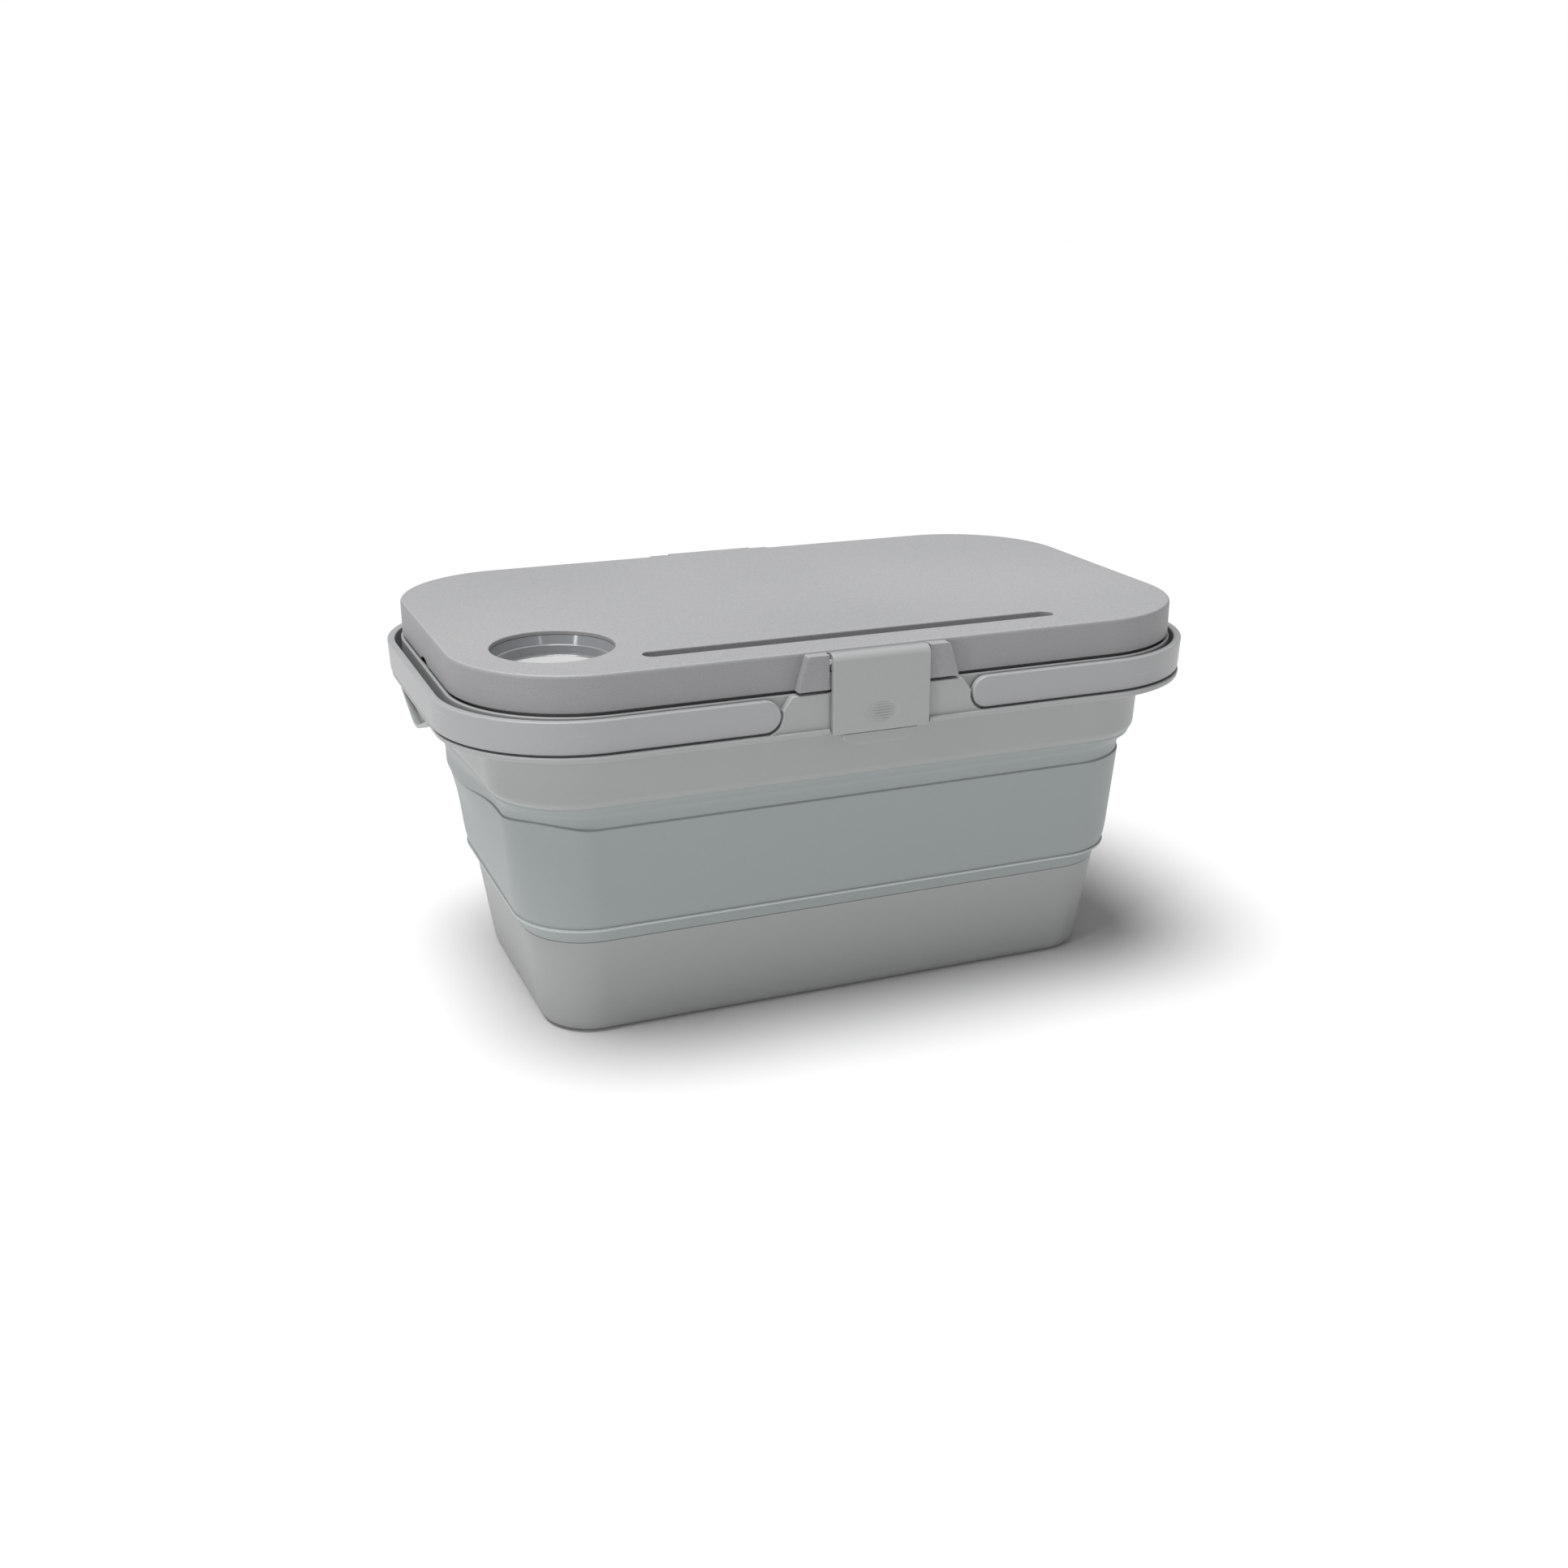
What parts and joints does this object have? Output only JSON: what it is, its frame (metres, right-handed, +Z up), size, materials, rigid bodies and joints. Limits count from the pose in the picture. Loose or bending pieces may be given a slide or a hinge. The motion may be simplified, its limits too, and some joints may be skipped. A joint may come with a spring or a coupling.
{
  "type": "collapsible storage crate",
  "caption": "Collapsible storage crate with a rigid base tub, a flexible folding wall, a rim with swing handles, and a lift-off table lid with cup recess, tablet slot and latches.",
  "frame": {"origin": "centre of the base tub's underside", "axes": "+X along the crate to the right as seen from the front, -Y the front, where the tablet slot is, +Z up"},
  "size_m": [0.48, 0.294, 0.2366],
  "materials": {
    "rigid_polypropylene": "warm grey moulded polypropylene, fine matt texture",
    "lid_polypropylene": "light grey moulded polypropylene with a fine grained top",
    "handle_polypropylene": "grey moulded polypropylene, satin, lightly scuffed",
    "folding_elastomer": "bluish grey thermoplastic elastomer, soft matt",
    "cup_liner": "grey moulded polypropylene, polished wall"
  },
  "bodies": {
    "base": {"base_tub": "rigid_polypropylene", "folding_wall": "folding_elastomer"},
    "frame": {"upper_collar": "rigid_polypropylene", "rim_frame": "rigid_polypropylene"},
    "lid": {"lid": "lid_polypropylene", "cup_holder_insert": "cup_liner", "front_latch_pin": "handle_polypropylene", "rear_latch_pin": "handle_polypropylene"},
    "front_latch": {"front_latch": "handle_polypropylene"},
    "rear_latch": {"rear_latch": "handle_polypropylene"},
    "left_handle": {"left_handle": "handle_polypropylene", "left_front_pivot_pin": "handle_polypropylene", "left_rear_pivot_pin": "handle_polypropylene", "left_front_pivot_clip": "handle_polypropylene", "left_rear_pivot_clip": "handle_polypropylene"},
    "right_handle": {"right_handle": "handle_polypropylene", "right_front_pivot_pin": "handle_polypropylene", "right_rear_pivot_pin": "handle_polypropylene", "right_front_pivot_clip": "handle_polypropylene", "right_rear_pivot_clip": "handle_polypropylene"}
  },
  "joints": [
    {"name": "collapse", "type": "slide", "parent": "base", "child": "frame", "axis": [0, 0, -1], "range_m": [0, 0.145], "deforming": ["folding_wall"]},
    {"name": "lid_lift", "type": "slide", "parent": "frame", "child": "lid", "axis": [0, 0, 1], "range_m": [0, 0.06]},
    {"name": "front_latch_swing", "type": "hinge", "parent": "lid", "child": "front_latch", "pos_m": [0, -0.1418, 0.231], "axis": [-1, 0, 0], "range_deg": [0, 100]},
    {"name": "rear_latch_swing", "type": "hinge", "parent": "lid", "child": "rear_latch", "pos_m": [0, 0.1418, 0.231], "axis": [1, 0, 0], "range_deg": [0, 100]},
    {"name": "left_handle_swing", "type": "hinge", "parent": "frame", "child": "left_handle", "pos_m": [-0.0695, 0, 0.2032], "axis": [0, 1, 0], "range_deg": [0, 90]},
    {"name": "right_handle_swing", "type": "hinge", "parent": "frame", "child": "right_handle", "pos_m": [0.0695, 0, 0.2032], "axis": [0, -1, 0], "range_deg": [0, 90]}
  ]
}
